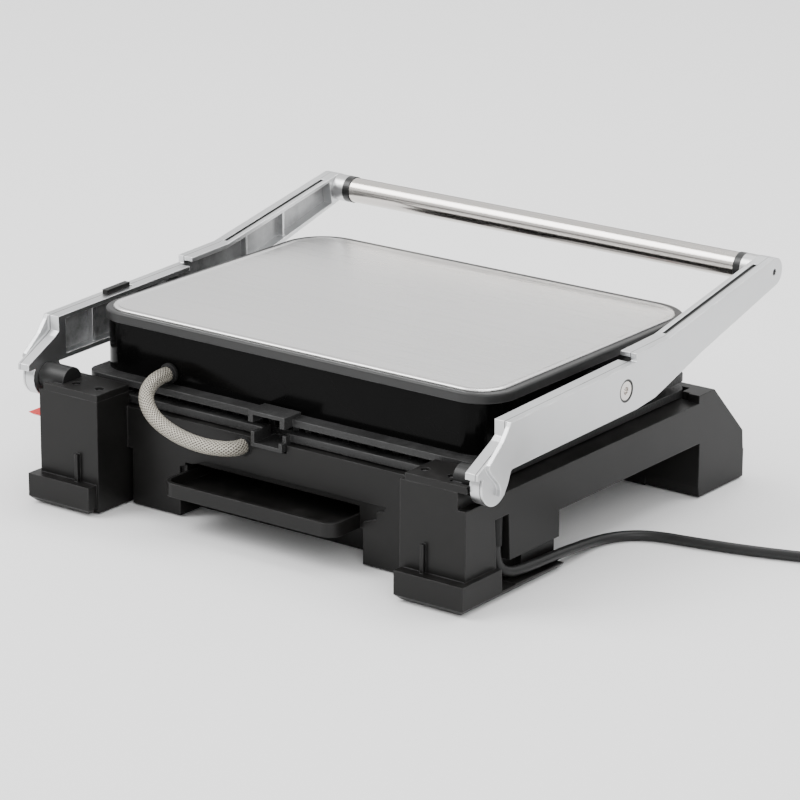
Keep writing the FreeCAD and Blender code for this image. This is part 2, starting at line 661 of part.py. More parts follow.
housing = rounded_plate(-lid_half, lid_half, lid_front_y, lid_rear_y, lid_bottom_z, lid_top_z,
                        rear_corner + 2, front_corner + 2)
room = rounded_plate(-lid_half + lid_wall, lid_half - lid_wall, lid_front_y + lid_wall,
                     lid_rear_y - lid_wall, lid_bottom_z - 1, lid_top_z - lid_wall,
                     rear_corner, front_corner)
housing = housing.cut(room)
for x, y in post_points:
    housing = housing.fuse(rod("z", 6.0, upper_back_z, lid_top_z - 1, x, y))
for x, y in post_points:
    housing = housing.cut(rod("z", 2.2, upper_back_z - 1, upper_back_z + 9, x, y))
for side in (1, -1):
    low, high = sorted((side * (lid_half - 9.0), side * (lid_half + 1)))
    housing = housing.fuse(rod("x", pivot_bush_r + 3, min(low, high) + (side < 0) * 1.5,
                               max(low, high) - (side > 0) * 1.5, float_y, float_z - 2.6))
    housing = housing.cut(rod("x", pivot_bush_r, low, high, float_y, float_z))
housing = housing.cut(rod("y", gland_r - 1.0, lid_rear_y - lid_wall - 1, lid_rear_y + 1, gland_x, gland_z))
housing = housing.removeSplitter()
export("lid_housing", housing)

rim_half = lid_half + rim_out
rim = frame_ring(rim_half, lid_front_y - rim_out, lid_rear_y + rim_out, lid_rim_z, cover_z, 9.0,
                 rear_corner + 4, front_corner + 4)
rim = rim.makeFillet(1.6, edges_near(rim, lambda bb: bb.ZMin > cover_z - 0.1
                                     and (bb.XMax > rim_half - 0.1 or bb.XMin < -rim_half + 0.1
                                          or bb.YMax > lid_rear_y + rim_out - 0.1
                                          or bb.YMin < lid_front_y - rim_out + 0.1)))
export("lid_rim", rim)
cover = rounded_plate(-cover_half, cover_half, cover_front_y, cover_rear_y, cover_z,
                      cover_z + cover_thick, rear_corner, front_corner)
cover = cover.makeFillet(0.9, edges_near(cover, lambda bb: bb.ZMin > cover_z + cover_thick - 0.1))
export("lid_top_cover", cover)

bushes = []
pivot_screws = []
for side in (1, -1):
    low, high = sorted((side * (lid_half - 9.0), side * (arm_in - 0.3)))
    bush = rod("x", pivot_bush_r, low, high, float_y, float_z)
    low, high = sorted((side * (lid_half - 6.0), side * (arm_out - pivot_head_thick)))
    shank = rod("x", pivot_screw_r, low, high, float_y, float_z)
    low, high = sorted((side * (arm_out - pivot_head_thick), side * (arm_out - 0.3)))
    head = rod("x", pivot_head_r, low, high, float_y, float_z)
    socket_low, socket_high = sorted((side * (arm_out - 2.2), side * (arm_out + 1)))
    head = head.cut(rod("x", 2.4, socket_low, socket_high, float_y, float_z))
    bushes.append(bush.cut(shank))
    pivot_screws.append(shank.fuse(head).removeSplitter())
export("lid_pivot_bushes", Part.makeCompound(bushes))
export("lid_pivot_screws", Part.makeCompound(pivot_screws))

upper_plate_screws = []
for x, y in post_points:
    upper_plate_screws.append(rod("z", 2.2, upper_back_z - 3.0, upper_back_z + 8.0, x, y))
    upper_plate = upper_plate.cut(rod("z", 2.3, upper_back_z - 4.0, upper_back_z + 1, x, y))
export("upper_plate", upper_plate)
export("upper_plate_screws", Part.makeCompound(upper_plate_screws))

# ---------------------------------------------------------------- arms and handle
end_out = handle_end_r
top_front = V(0, -156.7, 147.1)
low_front = V(0, -160.8, 129.0)


def arm_side(rear_points, lobe):
    # outline of an arm seen from the side; its rear end differs between the body and the raised face
    front = [V(0, -1.3, 87.2), V(0, -21.2, 89.5), V(0, -74.3, 105.9), low_front]
    top = [top_front, V(0, -36.6, 124.0), V(0, 0.6, 122.6), V(0, 0.2, 117.6), V(0, 133.0, 113.5)]
    edges = []
    points = top + [V(0, y, z) for y, z in rear_points]
    for a, b in zip(points, points[1:]):
        edges.append(Part.LineSegment(a, b).toShape())
    last = points[-1]
    if lobe:
        rise = 84.6 - hinge_z
        reach = math.sqrt(hinge_lobe_r ** 2 - rise ** 2)
        bottom = V(0, hinge_y, hinge_z - hinge_lobe_r)
        finish = V(0, hinge_y - reach, 84.6)
        edges.append(Part.Arc(last, bottom, finish).toShape())
        last = finish
    for b in front:
        edges.append(Part.LineSegment(last, b).toShape())
        last = b
    edges.append(Part.Arc(low_front, V(0, handle_y - end_out, handle_z), top_front).toShape())
    return Part.Face(Part.Wire(edges))


tongue_reach = math.sqrt(hinge_lobe_r ** 2 - (84.4 - hinge_z) ** 2)
body_rear = [(132.8, 103.8), (136.4, 101.2), (161.7, 88.3), (162.0, 84.4), (hinge_y + tongue_reach, 84.4)]
face_rear = [(134.6, 110.8), (140.7, 103.0), (153.7, 92.6), (154.7, 90.2), (152.0, 86.4), (144.5, 78.9),
             (142.5, 74.8), (143.5, 70.9), (139.2, 70.6), (135.4, 76.8), (132.6, 83.9), (131.0, 84.7)]
pocket_side = [(126.0, 110.7), (3.0, 114.5), (3.6, 119.5), (-36.2, 121.0), (-147.0, 143.2),
               (-150.0, 128.1), (-73.0, 108.9), (-20.4, 92.5), (-1.0, 90.3), (126.0, 87.9)]


def make_arm():
    body = arm_side(body_rear, True)
    body.translate(V(arm_in, 0, 0))
    body = body.extrude(V(arm_out - arm_face - arm_in, 0, 0))
    face = arm_side(face_rear, False)
    face.translate(V(arm_out - arm_face, 0, 0))
    face = face.extrude(V(arm_face, 0, 0))
    arm = body.fuse(face).removeSplitter()
    arm = arm.cut(side_prism(pocket_side, arm_in - 1, arm_out - arm_skin))
    # ribs inside the channel
    for y in (96.0, 56.0, -60.0, -100.0):
        top_z = 112.0 if y > 0 else 121.0 + (-36.0 - y) * 0.2
        low_z = 87.0 if y > 0 else 103.0 - (y + 60.0) * 0.25
        arm = arm.fuse(box(arm_in + 3.0, arm_out - arm_skin + 0.5, y - 1.0, y + 1.0, low_z, top_z))
    arm = arm.fuse(rod("x", pivot_head_r + 4, arm_in, arm_out - 2, float_y, float_z))
    arm = arm.fuse(rod("x", handle_end_r - 0.6, arm_in, arm_out - 2, handle_y, handle_z))
    arm = arm.removeSplitter()
    arm = arm.cut(rod("x", pin_r + run_gap, arm_in - 1, arm_in + pin_reach + 0.3, hinge_y, hinge_z))
    arm = arm.cut(rod("x", pivot_screw_r + run_gap, arm_in - 1, arm_out + 1, float_y, float_z))
    arm = arm.cut(rod("x", pivot_head_r + 0.3, arm_out - pivot_head_thick, arm_out + 1, float_y, float_z))
    arm = arm.cut(rod("x", screw_r, arm_in - 1, arm_out + 1, handle_y, handle_z))
    # a groove runs along the top of the handle end
    slope = (top_front.z - 124.0) / (top_front.y + 36.6)
    groove = [(-40.0, 126.2), (-40.0, 124.68 - groove_deep), (-146.0, 124.68 - groove_deep - 106.0 * slope),
              (-146.0, 126.2 - 106.0 * slope)]
    arm = arm.cut(side_prism(groove, arm_in + 3.4, arm_in + 6.6))
    return arm


screw_r = 2.2
groove_deep = 1.6
arm = make_arm()
lock_y = (60.0, 82.0)
lock_travel = 10.0
lock_x = (171.4, 175.6)
top_slope = (113.5 - 117.6) / (133.0 - 0.2)


def top_edge_z(y):
    return 117.6 + (y - 0.2) * top_slope


def follow_top(y0, y1, low, high, x0, x1):
    # a bar that lies along the arm's sloping top edge, between two heights above it
    return side_prism([(y0, top_edge_z(y0) + low), (y1, top_edge_z(y1) + low),
                       (y1, top_edge_z(y1) + high), (y0, top_edge_z(y0) + high)], x0, x1)


slot_mid = sum(lock_x) / 2
slot = follow_top(lock_y[0] + 6 - lock_travel, lock_y[1] - 6, -5, 2, slot_mid - 1.5, slot_mid + 1.5)
right_arm = arm.cut(slot)
export("right_arm", right_arm)
export("left_arm", mirror_x(arm))
slider = follow_top(lock_y[0], lock_y[1], 0.2, 3.4, lock_x[0], lock_x[1])
slider = slider.fuse(follow_top(lock_y[0] + 8, lock_y[1] - 8, -3.6, 0.4, slot_mid - 1.2, slot_mid + 1.2))
slider = slider.fuse(follow_top(lock_y[0] + 8, lock_y[1] - 8, -5.6, -3.3, slot_mid - 3.0, slot_mid + 1.5))
export("float_lock_slider", slider.removeSplitter())

tube = rod("x", handle_r, -handle_half, handle_half, handle_y, handle_z)
tube = tube.cut(rod("x", handle_r - handle_wall, -handle_half - 1, handle_half + 1, handle_y, handle_z))
export("handle_tube", tube)
collars = []
handle_screws = []
for side in (1, -1):
    low, high = sorted((side * handle_half, side * arm_in))
    collar = rod("x", handle_r + 0.5, low, high, handle_y, handle_z)
    low, high = sorted((side * (handle_half - 9.0), side * handle_half))
    collar = collar.fuse(rod("x", handle_r - handle_wall, low, high, handle_y, handle_z))
    low, high = sorted((side * (handle_half + 3.0), side * (arm_out - 2.4)))
    screw = rod("x", screw_r, low, high, handle_y, handle_z)
    collars.append(collar.removeSplitter().cut(screw))
    handle_screws.append(screw)
export("handle_collars", Part.makeCompound(collars))
export("handle_screws", Part.makeCompound(handle_screws))

# ---------------------------------------------------------------- sheathed lead, base to lid
def bend_radii(points):
    radii = []
    for a, b, c in zip(points, points[1:], points[2:]):
        turn = (b - a).getAngle(c - b)
        shorter = min((b - a).Length, (c - b).Length)
        radii.append(0.45 * shorter / math.tan(turn / 2))
    return radii


def report_tube(name, tube, length, radius, radii):
    filled = tube.Volume / (math.pi * radius ** 2 * length)
    print(name, "length", round(length, 1), "filled", round(filled, 4), "radii",
          [round(r, 1) for r in radii])


lead_points = [V(gland_x, lid_rear_y + 3.2, gland_z), V(gland_x, 127.0, gland_z), V(91.2, 135.5, 83.9),
               V(88.8, 142.8, 79.1), V(82.0, 148.4, 73.8), V(72.0, 151.9, 68.7), V(60.3, 153.2, 64.6),
               V(48.2, 152.8, 61.5), V(37.5, 150.6, 59.5), V(29.0, 146.6, 58.3),
               V(lead_x + 2.5, 142.0, lead_z + 0.3), V(lead_x, 137.2, lead_z),
               V(lead_x, rear_y + 1.2, lead_z)]
lead_radii = bend_radii(lead_points)
lead, lead_length = bent_tube(lead_points, lead_d / 2, lead_radii)
report_tube("lid_lead", lead, lead_length, lead_d / 2, lead_radii)
export("lid_lead", lead)
gland = rod("y", gland_r, lid_rear_y, lid_rear_y + 2.0, gland_x, gland_z)
gland = gland.fuse(rod("y", gland_r - 1.05, lid_rear_y - lid_wall - 0.6, lid_rear_y + 0.5, gland_x, gland_z))
gland = gland.fuse(rod("y", lead_d / 2 + 0.8, lid_rear_y + 1.5, lid_rear_y + 3.2, gland_x, gland_z))
export("lid_lead_gland", gland.removeSplitter())
grommet = rod("y", grommet_r - 0.05, rear_y - wall, rear_y, lead_x, lead_z)
grommet = grommet.fuse(rod("y", lead_d / 2 + 0.8, rear_y - 0.5, rear_y + 1.2, lead_x, lead_z))
export("lead_grommet", grommet.removeSplitter())

# ---------------------------------------------------------------- mains cord
relief_end_z = 31.0
relief = Part.makeCone(3.9, relief_r, 50.0 - relief_end_z, V(relief_x, cord_y, relief_end_z))
relief = relief.fuse(rod("z", relief_r, 50.0, relief_top_z, relief_x, cord_y))
flange = rod("z", 5.8, relief_top_z, relief_top_z + 2.0, relief_x, cord_y)
flange = flange.cut(box(base_left - 5, base_left + wall + 0.2, cord_y - 9, cord_y + 9, 40, 70))
relief = relief.fuse(flange).removeSplitter()
export("cord_strain_relief", relief)

cord_points = [V(relief_x, cord_y, relief_end_z), V(relief_x, cord_y, 19.5),
               V(-165.3, 114.0, 11.6), V(-167.4, 97.0, 10.6), V(-168.2, 66.0, 10.0),
               V(-166.3, 36.0, 6.8), V(-165.2, 14.0, 3.9), V(-172.3, -2.6, cord_z),
               V(-187.0, -13.4, cord_z), V(-214.0, -18.4, cord_z), V(-249.0, -26.6, cord_z),
               V(-281.0, -37.4, cord_z), V(-312.0, coil_mid[1] + coil_turn_r, cord_z),
               V(coil_mid[0], coil_mid[1] + coil_turn_r, cord_z)]
cord_radii = bend_radii(cord_points)
cord, cord_length = bent_tube(cord_points, cord_d / 2, cord_radii)
report_tube("mains_cord", cord, cord_length, cord_d / 2, cord_radii)
export("mains_cord", cord)

coil_outer = coil_turn_r + cord_d / 2
coil = rod("z", coil_outer, 0.1, coil_high, coil_mid[0], coil_mid[1])
coil = coil.cut(rod("z", coil_in_r - cord_d / 2, -1, coil_high + 1, coil_mid[0], coil_mid[1]))
coil = coil.cut(box(coil_mid[0], coil_mid[0] + 40, coil_mid[1] + coil_turn_r - cord_d / 2 - 0.4,
                    coil_mid[1] + coil_outer + 1, -1, coil_high + 1))
export("cord_coil", coil)
turn_mid_r = (coil_turn_r + coil_in_r) / 2
print("cord_coil one turn", round(2 * math.pi * turn_mid_r, 1))

# earthed plug that lies on the coil
plug_x = -330.0
plug_y = (-82.0, -46.0)
plug_half = 13.5
plug_high = 20.0
plug_tail_r = 4.6
plug_z = coil_high + plug_high / 2
plug = box(plug_x - plug_half, plug_x + plug_half, plug_y[0], plug_y[1], coil_high, coil_high + plug_high)
plug = plug.makeFillet(5.0, edges_near(plug, lambda bb: bb.YLength > 1))
tail = Part.makeCone(plug_tail_r, plug_tail_r + 2.6, 20.0, V(plug_x, plug_y[0] - 20.0, plug_z), V(0, 1, 0))
plug = plug.fuse(tail).removeSplitter()
pins = []
for dx, dz in ((-5.5, -3.0), (5.5, -3.0), (0.0, 4.6)):
    pins.append(rod("y", 1.6, plug_y[1], plug_y[1] + 18.0, plug_x + dx, plug_z + dz))
export("plug_body", plug)
export("plug_pins", Part.makeCompound(pins))
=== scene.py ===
import bpy
import bmesh
import math
from mathutils import Matrix, Vector


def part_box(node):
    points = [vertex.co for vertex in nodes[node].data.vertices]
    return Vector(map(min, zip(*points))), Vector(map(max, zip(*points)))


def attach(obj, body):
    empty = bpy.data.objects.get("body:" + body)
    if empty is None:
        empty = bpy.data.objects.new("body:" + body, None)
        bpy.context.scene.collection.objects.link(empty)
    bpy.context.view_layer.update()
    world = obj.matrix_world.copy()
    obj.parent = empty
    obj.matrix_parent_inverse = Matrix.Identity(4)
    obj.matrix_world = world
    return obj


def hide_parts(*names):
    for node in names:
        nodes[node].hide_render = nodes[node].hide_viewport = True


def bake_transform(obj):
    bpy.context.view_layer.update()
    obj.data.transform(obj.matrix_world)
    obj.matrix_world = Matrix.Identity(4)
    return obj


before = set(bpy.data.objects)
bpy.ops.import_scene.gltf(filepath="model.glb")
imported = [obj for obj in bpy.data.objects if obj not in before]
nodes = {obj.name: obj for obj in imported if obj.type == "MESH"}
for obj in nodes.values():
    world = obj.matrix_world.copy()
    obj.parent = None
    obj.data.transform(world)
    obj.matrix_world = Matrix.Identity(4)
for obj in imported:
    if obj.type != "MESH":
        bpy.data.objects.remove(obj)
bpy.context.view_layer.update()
mm = 0.001  # pieces and the camera are given in millimetres, shaders, lights and the floor in metres
mixFirst, mixSecond, mixResult = 6, 7, 2  # the colour sockets of a Mix node


def addNode(tree, kind, settings=None, values=None):
    node = tree.nodes.new(kind)
    for key, value in (settings or {}).items():
        setattr(node, key, value)
    for key, value in (values or {}).items():
        node.inputs[key].default_value = value
    return node


def link(tree, source, target):
    tree.links.new(source, target)


def mapRange(tree, source, fromSpan, toSpan=(0.0, 1.0)):
    limits = {"From Min": fromSpan[0], "From Max": fromSpan[1], "To Min": toSpan[0], "To Max": toSpan[1]}
    ranged = addNode(tree, "ShaderNodeMapRange", None, limits)
    link(tree, source, ranged.inputs["Value"])
    return ranged.outputs["Result"]


def calculate(tree, operation, first, second=0.0, clamp=False):
    # a Math node on two sockets or numbers
    node = addNode(tree, "ShaderNodeMath", {"operation": operation, "use_clamp": clamp})
    for place, value in enumerate((first, second)):
        if isinstance(value, (int, float)):
            node.inputs[place].default_value = value
        else:
            link(tree, value, node.inputs[place])
    return node.outputs[0]


def objectPlace(tree):
    return addNode(tree, "ShaderNodeTexCoord").outputs["Object"]


def splitAxes(tree, source):
    split = addNode(tree, "ShaderNodeSeparateXYZ")
    link(tree, source, split.inputs[0])
    return split.outputs["X"], split.outputs["Y"], split.outputs["Z"]


def newGroup(name, inputs, outputs):
    group = bpy.data.node_groups.new(name, "ShaderNodeTree")
    for label, kind, value in inputs:
        socket = group.interface.new_socket(name=label, in_out="INPUT", socket_type=kind)
        socket.default_value = value
    for label, kind in outputs:
        group.interface.new_socket(name=label, in_out="OUTPUT", socket_type=kind)
    start = group.nodes.new("NodeGroupInput")
    end = group.nodes.new("NodeGroupOutput")
    return group, start, end


# rubbed corners: the mask grows while the rounded normal's match with the flat one falls from first to last
edgeWearLook = {"width": 0.0012, "breakup": 90.0, "samples": 4, "match": (0.995, 0.88),
                "patchFrom": (0.42, 0.66), "patchTo": (0.15, 1.0)}


def makeEdgeWear(values):
    group, start, end = newGroup("edgeWear", [("Width", "NodeSocketFloat", values["width"]),
                                              ("Breakup", "NodeSocketFloat", values["breakup"])],
                                 [("Mask", "NodeSocketFloat")])
    bevel = addNode(group, "ShaderNodeBevel", {"samples": values["samples"]})
    geometry = addNode(group, "ShaderNodeNewGeometry")
    match = addNode(group, "ShaderNodeVectorMath", {"operation": "DOT_PRODUCT"})
    noise = addNode(group, "ShaderNodeTexNoise", None, {"Detail": 3.0, "Roughness": 0.6})
    link(group, start.outputs["Width"], bevel.inputs["Radius"])
    link(group, bevel.outputs["Normal"], match.inputs[0])
    link(group, geometry.outputs["Normal"], match.inputs[1])
    link(group, objectPlace(group), noise.inputs["Vector"])
    link(group, start.outputs["Breakup"], noise.inputs["Scale"])
    rubbed = mapRange(group, match.outputs["Value"], values["match"])
    patch = mapRange(group, noise.outputs["Fac"], values["patchFrom"], values["patchTo"])
    link(group, calculate(group, "MULTIPLY", rubbed, patch, clamp=True), end.inputs["Mask"])
    return group


# rounds the shading of moulded and cast corners
softEdgeLook = {"radius": 0.0008, "samples": 6}


def makeSoftEdge(values):
    group, start, end = newGroup("softEdge", [("Radius", "NodeSocketFloat", values["radius"])],
                                 [("Normal", "NodeSocketVector")])
    bevel = addNode(group, "ShaderNodeBevel", {"samples": values["samples"]})
    link(group, start.outputs["Radius"], bevel.inputs["Radius"])
    link(group, bevel.outputs["Normal"], end.inputs["Normal"])
    return group


# fine skin of a moulding or casting, with broad soft variation
grainLook = {"fine": 900.0, "broad": 14.0}


def makeGrain(values):
    group, start, end = newGroup("surfaceGrain", [("Fine", "NodeSocketFloat", values["fine"]),
                                                  ("Broad", "NodeSocketFloat", values["broad"])],
                                 [("Height", "NodeSocketFloat"), ("Variation", "NodeSocketFloat")])
    place = objectPlace(group)
    fine = addNode(group, "ShaderNodeTexNoise", None, {"Detail": 2.0, "Roughness": 0.55})
    broad = addNode(group, "ShaderNodeTexNoise", None, {"Detail": 4.0, "Roughness": 0.6})
    for noise, label in ((fine, "Fine"), (broad, "Broad")):
        link(group, place, noise.inputs["Vector"])
        link(group, start.outputs[label], noise.inputs["Scale"])
    link(group, fine.outputs["Fac"], end.inputs["Height"])
    link(group, broad.outputs["Fac"], end.inputs["Variation"])
    return group


# long fine scratches of a brushed sheet; the stretch says along which axis they run
brushLook = {"stretch": (6.0, 900.0, 900.0), "lineShare": 0.6, "cloudShare": 0.4}


def makeBrush(values):
    group, start, end = newGroup("brushedLines", [("Stretch", "NodeSocketVector", values["stretch"])],
                                 [("Height", "NodeSocketFloat"), ("Tone", "NodeSocketFloat")])
    place = objectPlace(group)
    scaled = addNode(group, "ShaderNodeVectorMath", {"operation": "MULTIPLY"})
    lines = addNode(group, "ShaderNodeTexNoise", None, {"Scale": 1.0, "Detail": 3.0, "Roughness": 0.7})
    clouds = addNode(group, "ShaderNodeTexNoise", None, {"Scale": 5.0, "Detail": 2.0})
    link(group, place, scaled.inputs[0])
    link(group, start.outputs["Stretch"], scaled.inputs[1])
    link(group, scaled.outputs["Vector"], lines.inputs["Vector"])
    link(group, place, clouds.inputs["Vector"])
    lineTone = calculate(group, "MULTIPLY", lines.outputs["Fac"], values["lineShare"])
    cloudTone = calculate(group, "MULTIPLY", clouds.outputs["Fac"], values["cloudShare"])
    link(group, lines.outputs["Fac"], end.inputs["Height"])
    link(group, calculate(group, "ADD", lineTone, cloudTone), end.inputs["Tone"])
    return group


# a little pale dust on what faces up
dustLook = {"scale": 60.0, "upward": (0.7, 1.0), "specks": (0.5, 0.75)}


def makeDust(values):
    group, start, end = newGroup("settledDust", [("Scale", "NodeSocketFloat", values["scale"])],
                                 [("Mask", "NodeSocketFloat")])
    geometry = addNode(group, "ShaderNodeNewGeometry")
    noise = addNode(group, "ShaderNodeTexNoise", None, {"Detail": 6.0, "Roughness": 0.7})
    link(group, objectPlace(group), noise.inputs["Vector"])
    link(group, start.outputs["Scale"], noise.inputs["Scale"])
    facing = splitAxes(group, geometry.outputs["Normal"])[2]
    upward = mapRange(group, facing, values["upward"])
    specks = mapRange(group, noise.outputs["Fac"], values["specks"])
    link(group, calculate(group, "MULTIPLY", upward, specks, clamp=True), end.inputs["Mask"])
    return group


# two sets of flat wires wound opposite ways round a sleeve, from the sleeve's own UV map
braidLook = {"around": 14.0, "along": 420.0, "gap": -0.5}


def makeBraid(values):
    group, start, end = newGroup("braidedSleeve", [("Around", "NodeSocketFloat", values["around"]),
                                                   ("Along", "NodeSocketFloat", values["along"])],
                                 [("Height", "NodeSocketFloat"), ("Tone", "NodeSocketFloat")])
    place = addNode(group, "ShaderNodeTexCoord")
    roundTurn, distance = splitAxes(group, place.outputs["UV"])[:2]
    around = calculate(group, "MULTIPLY", roundTurn, start.outputs["Around"])
    along = calculate(group, "MULTIPLY", distance, start.outputs["Along"])
    waves = []
    for operation in ("ADD", "SUBTRACT"):
        phase = calculate(group, "MULTIPLY", calculate(group, operation, around, along), 2 * math.pi)
        waves.append(calculate(group, "SINE", phase))
    highest = calculate(group, "MAXIMUM", *waves)
    link(group, highest, end.inputs["Height"])
    link(group, mapRange(group, highest, (values["gap"], 1.0)), end.inputs["Tone"])
    return group


edgeWear = makeEdgeWear(edgeWearLook)
softEdge = makeSoftEdge(softEdgeLook)
surfaceGrain = makeGrain(grainLook)
brushedLines = makeBrush(brushLook)
settledDust = makeDust(dustLook)
braidedSleeve = makeBraid(braidLook)
print("shader groups ready")


def placeGroup(tree, group, values=None):
    node = tree.nodes.new("ShaderNodeGroup")
    node.node_tree = group
    for key, value in (values or {}).items():
        node.inputs[key].default_value = value
    return node


def mixColour(tree, factor, first, second):
    # each colour is a socket or a plain colour
    mix = addNode(tree, "ShaderNodeMix", {"data_type": "RGBA"})
    link(tree, factor, mix.inputs[0])
    for place, colour in ((mixFirst, first), (mixSecond, second)):
        if isinstance(colour, tuple):
            mix.inputs[place].default_value = (*colour, 1.0)
        else:
            link(tree, colour, mix.inputs[place])
    return mix.outputs[mixResult]


def startMaterial(name, constants):
    material = bpy.data.materials.new(name)
    material.use_nodes = True
    tree = material.node_tree
    shader = tree.nodes["Principled BSDF"]
    for key, value in constants.items():
        shader.inputs[key].default_value = value
    return material, tree, shader


# the noise span holds most of a noise texture's values; dust is the light tone times the gain plus the lift
surfaceLook = {"noiseSpan": (0.3, 0.7), "wearPerCorner": 1.5, "dustGain": 1.6, "dustLift": 0.004}


def rangeOf(tree, source, low, high):
    return mapRange(tree, source, surfaceLook["noiseSpan"], (low, high))


def addBump(tree, shader, height, values, normal=None):
    bump = addNode(tree, "ShaderNodeBump", None,
                   {"Strength": values["strength"], "Distance": values["depth"]})
    link(tree, height, bump.inputs["Height"])
    if normal:
        link(tree, normal, bump.inputs["Normal"])
    link(tree, bump.outputs["Normal"], shader.inputs["Normal"])


def grey(value, warm=0.0):
    return (value * (1 + warm), value, value * (1 - warm))


# plastic, rubber and coated castings
mouldedCommon = {"fine": 900.0, "broad": 14.0, "corner": 0.0008, "specular": 0.5, "depth": 0.0001}
mouldedFinishes = {
    "blackMoulding": {"dark": grey(0.005, 0.04), "light": grey(0.009, 0.04), "worn": grey(0.03),
                      "rough": (0.32, 0.44), "specular": 0.2, "strength": 0.12, "depth": 0.00006},
    "glossBlack": {"dark": grey(0.0014), "light": grey(0.0022), "worn": grey(0.012), "rough": (0.10, 0.17),
                   "specular": 0.05, "fine": 300.0, "strength": 0.02, "depth": 0.00004, "corner": 0.0010},
    "darkRim": {"dark": grey(0.020), "light": grey(0.028), "worn": grey(0.07), "rough": (0.34, 0.44),
                "specular": 0.3, "strength": 0.15, "depth": 0.00006},
    "blackRubber": {"dark": grey(0.005), "light": grey(0.009), "worn": grey(0.02), "rough": (0.55, 0.75),
                    "specular": 0.25, "strength": 0.3},
    "cordSkin": {"dark": grey(0.005), "light": grey(0.009), "worn": grey(0.02), "rough": (0.32, 0.46),
                 "specular": 0.35, "strength": 0.15},
    "plateCoat": {"dark": grey(0.010), "light": grey(0.022), "worn": grey(0.07), "rough": (0.40, 0.60),
                  "specular": 0.38, "fine": 650.0, "strength": 0.9, "depth": 0.0004},
    "bracketPaint": {"dark": grey(0.006), "light": grey(0.012), "worn": grey(0.08), "rough": (0.32, 0.48),
                     "specular": 0.3, "strength": 0.2},
    "redPlastic": {"dark": (0.62, 0.012, 0.010), "light": (0.74, 0.018, 0.014), "worn": (0.78, 0.05, 0.04),
                   "rough": (0.32, 0.42), "specular": 0.25, "strength": 0.08, "depth": 0.00005},
    "ceramic": {"dark": (0.55, 0.52, 0.45), "light": (0.66, 0.63, 0.56), "worn": (0.75, 0.73, 0.68),
                "rough": (0.5, 0.7), "strength": 0.2},
    "collarFinish": {"dark": grey(0.006), "light": grey(0.010), "worn": grey(0.03), "rough": (0.3, 0.4),
                     "strength": 0.08},
}

# sheet and cast metals: brushed along one axis where a stretch is given, else sandy all over
metalCommon = {"fine": 1400.0, "broad": 10.0, "corner": 0.0006, "depth": 0.00005}
metalFinishes = {
    "coverSteel": {"dark": grey(0.78, 0.008), "light": grey(0.86, 0.008), "worn": grey(0.9),
                   "rough": (0.24, 0.33), "stretch": (6.0, 700.0, 700.0), "strength": 0.08},
    "panelSteel": {"dark": grey(0.50), "light": grey(0.60), "worn": grey(0.78), "rough": (0.28, 0.36),
                   "stretch": (6.0, 800.0, 800.0), "strength": 0.10},
    "armMetal": {"dark": grey(0.58, -0.01), "light": grey(0.67, -0.01), "worn": grey(0.92),
                 "rough": (0.32, 0.42), "fine": 1600.0, "strength": 0.12, "depth": 0.00006,
                 "corner": 0.0009},
    "handleSteel": {"dark": grey(0.56, 0.05), "light": grey(0.66, 0.05), "worn": grey(0.8),
                    "rough": (0.14, 0.22), "stretch": (8.0, 900.0, 900.0), "strength": 0.06},
    "platedSteel": {"dark": grey(0.42), "light": grey(0.52), "worn": grey(0.7), "rough": (0.25, 0.4),
                    "strength": 0.1},
    "brightSheet": {"dark": grey(0.55), "light": grey(0.66), "worn": grey(0.8), "rough": (0.3, 0.45),
                    "stretch": (500.0, 8.0, 500.0), "strength": 0.1},
    "heaterSheath": {"dark": (0.16, 0.14, 0.12), "light": (0.24, 0.21, 0.18), "worn": grey(0.4),
                     "rough": (0.45, 0.6), "strength": 0.2},
    "brassPin": {"dark": (0.52, 0.36, 0.14), "light": (0.62, 0.44, 0.18), "worn": (0.8, 0.62, 0.3),
                 "rough": (0.22, 0.35), "strength": 0.1},
    "blackOxide": {"dark": grey(0.02), "light": grey(0.035), "worn": grey(0.12), "rough": (0.4, 0.55),
                   "strength": 0.1},
}


def paintBody(tree, tone, values):
    # the base tone with its corners rubbed
    wear = placeGroup(tree, edgeWear, {"Width": values["corner"] * surfaceLook["wearPerCorner"]})
    body = mixColour(tree, rangeOf(tree, tone, 0.0, 1.0), values["dark"], values["light"])
    return mixColour(tree, wear.outputs["Mask"], body, values["worn"])


def finishSurface(tree, shader, colour, tone, height, values):
    soft = placeGroup(tree, softEdge, {"Radius": values["corner"]})
    link(tree, colour, shader.inputs["Base Color"])
    link(tree, rangeOf(tree, tone, *values["rough"]), shader.inputs["Roughness"])
    addBump(tree, shader, height, values, soft.outputs["Normal"])


def makeMoulded(name, values):
    material, tree, shader = startMaterial(name, {"Specular IOR Level": values["specular"]})
    grain = placeGroup(tree, surfaceGrain, {"Fine": values["fine"], "Broad": values["broad"]})
    dust = placeGroup(tree, settledDust)
    tone = grain.outputs["Variation"]
    dustTone = tuple(part * surfaceLook["dustGain"] + surfaceLook["dustLift"] for part in values["light"])
    dusty = mixColour(tree, dust.outputs["Mask"], paintBody(tree, tone, values), dustTone)
    finishSurface(tree, shader, dusty, tone, grain.outputs["Height"], values)
    return material


def makeMetal(name, values):
    material, tree, shader = startMaterial(name, {"Metallic": 1.0})
    if "stretch" in values:
        lines = placeGroup(tree, brushedLines, {"Stretch": values["stretch"]})
        height, tone = lines.outputs["Height"], lines.outputs["Tone"]
    else:
        grain = placeGroup(tree, surfaceGrain, {"Fine": values["fine"], "Broad": values["broad"]})
        height, tone = grain.outputs["Height"], grain.outputs["Variation"]
    finishSurface(tree, shader, paintBody(tree, tone, values), tone, height, values)
    return material


